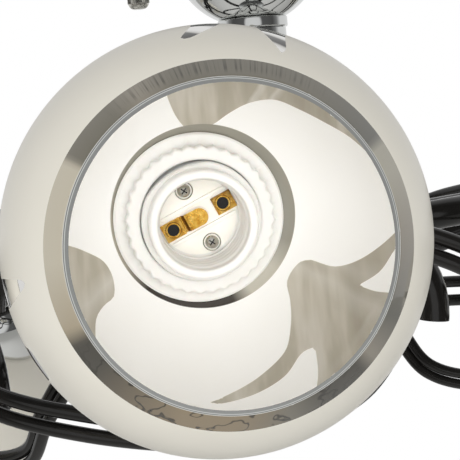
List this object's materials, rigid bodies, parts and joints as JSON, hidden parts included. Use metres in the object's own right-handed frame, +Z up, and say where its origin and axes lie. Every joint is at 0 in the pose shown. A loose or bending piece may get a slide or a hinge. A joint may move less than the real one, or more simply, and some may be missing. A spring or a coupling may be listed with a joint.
{
  "type": "ceiling chandelier",
  "caption": "Chrome and black ceiling chandelier whose swirling tube arms each carry a half-open round glass shade on a screw lampholder.",
  "frame": {"origin": "middle of the ceiling bar's upper face, where it lies on the ceiling", "axes": "+Z up; the column hangs along -Z; +X along the ceiling bar; the first light, highest and nearly level, faces -Y"},
  "size_m": [0.6636, 0.6065, 0.3326],
  "materials": {
    "chrome": "bright polished chrome plate",
    "zinc_steel": "bright zinc-plated steel",
    "black_enamel": "black high-gloss enamel",
    "opal_glass": "glass with an off-white gloss coat and a clear band at its mouth",
    "white_plastic": "white moulded plastic",
    "cream_plastic": "cream moulded plastic",
    "brass": "bright stamped brass"
  },
  "bodies": {
    "fixture": {"ceiling_bar": "zinc_steel", "canopy": "chrome", "canopy_bowl": "chrome", "collar": "chrome", "column_tube": "chrome", "tie_bolt": "zinc_steel", "arm_hub": "chrome", "hub_finial": "chrome", "cup_1": "chrome", "holder_shell_1": "white_plastic", "holder_base_1": "cream_plastic", "centre_contact_1": "brass", "side_contact_1": "brass", "shade_1": "opal_glass", "arm_1": "black_enamel", "bow_1": "black_enamel", "rods_1": "black_enamel", "cup_2": "chrome", "holder_shell_2": "white_plastic", "holder_base_2": "cream_plastic", "centre_contact_2": "brass", "side_contact_2": "brass", "shade_2": "opal_glass", "arm_2": "black_enamel", "bow_2": "black_enamel", "rods_2": "black_enamel", "cup_3": "chrome", "holder_shell_3": "white_plastic", "holder_base_3": "cream_plastic", "centre_contact_3": "brass", "side_contact_3": "brass", "shade_3": "opal_glass", "arm_3": "black_enamel", "bow_3": "black_enamel", "rods_3": "black_enamel", "cup_4": "chrome", "holder_shell_4": "white_plastic", "holder_base_4": "cream_plastic", "centre_contact_4": "brass", "side_contact_4": "brass", "shade_4": "opal_glass", "arm_4": "black_enamel", "bow_4": "black_enamel", "rods_4": "black_enamel", "cup_5": "chrome", "holder_shell_5": "white_plastic", "holder_base_5": "cream_plastic", "centre_contact_5": "brass", "side_contact_5": "brass", "shade_5": "opal_glass", "arm_5": "black_enamel", "bow_5": "black_enamel", "rods_5": "black_enamel"},
    "ring_1": {"shade_ring_1": "white_plastic"},
    "ring_2": {"shade_ring_2": "white_plastic"},
    "ring_3": {"shade_ring_3": "white_plastic"},
    "ring_4": {"shade_ring_4": "white_plastic"},
    "ring_5": {"shade_ring_5": "white_plastic"},
    "nut_left": {"cap_nut_left": "zinc_steel"},
    "nut_right": {"cap_nut_right": "zinc_steel"}
  },
  "joints": [
    {"name": "ring_turn_1", "type": "hinge", "parent": "fixture", "child": "ring_1", "pos_m": [-0.02468, -0.28784, -0.1414], "axis": [0.1077, -0.9916, -0.0715], "continuous": true},
    {"name": "ring_turn_2", "type": "hinge", "parent": "fixture", "child": "ring_2", "pos_m": [0.26392, -0.11751, -0.245], "axis": [0.7467, -0.171, -0.6428], "continuous": true},
    {"name": "ring_turn_3", "type": "hinge", "parent": "fixture", "child": "ring_3", "pos_m": [0.21469, 0.19331, -0.196], "axis": [0.5567, 0.7415, -0.3746], "continuous": true},
    {"name": "ring_turn_4", "type": "hinge", "parent": "fixture", "child": "ring_4", "pos_m": [-0.20606, 0.20249, -0.2678], "axis": [-0.5586, 0.3683, -0.7431], "continuous": true},
    {"name": "ring_turn_5", "type": "hinge", "parent": "fixture", "child": "ring_5", "pos_m": [-0.27316, -0.09406, -0.205], "axis": [-0.8022, -0.465, -0.3746], "continuous": true},
    {"name": "cap_nut_turn_left", "type": "hinge", "parent": "fixture", "child": "nut_left", "pos_m": [-0.056, 0, -0.03], "axis": [0, 0, 1], "continuous": true},
    {"name": "cap_nut_turn_right", "type": "hinge", "parent": "fixture", "child": "nut_right", "pos_m": [0.056, 0, -0.03], "axis": [0, 0, 1], "continuous": true}
  ]
}
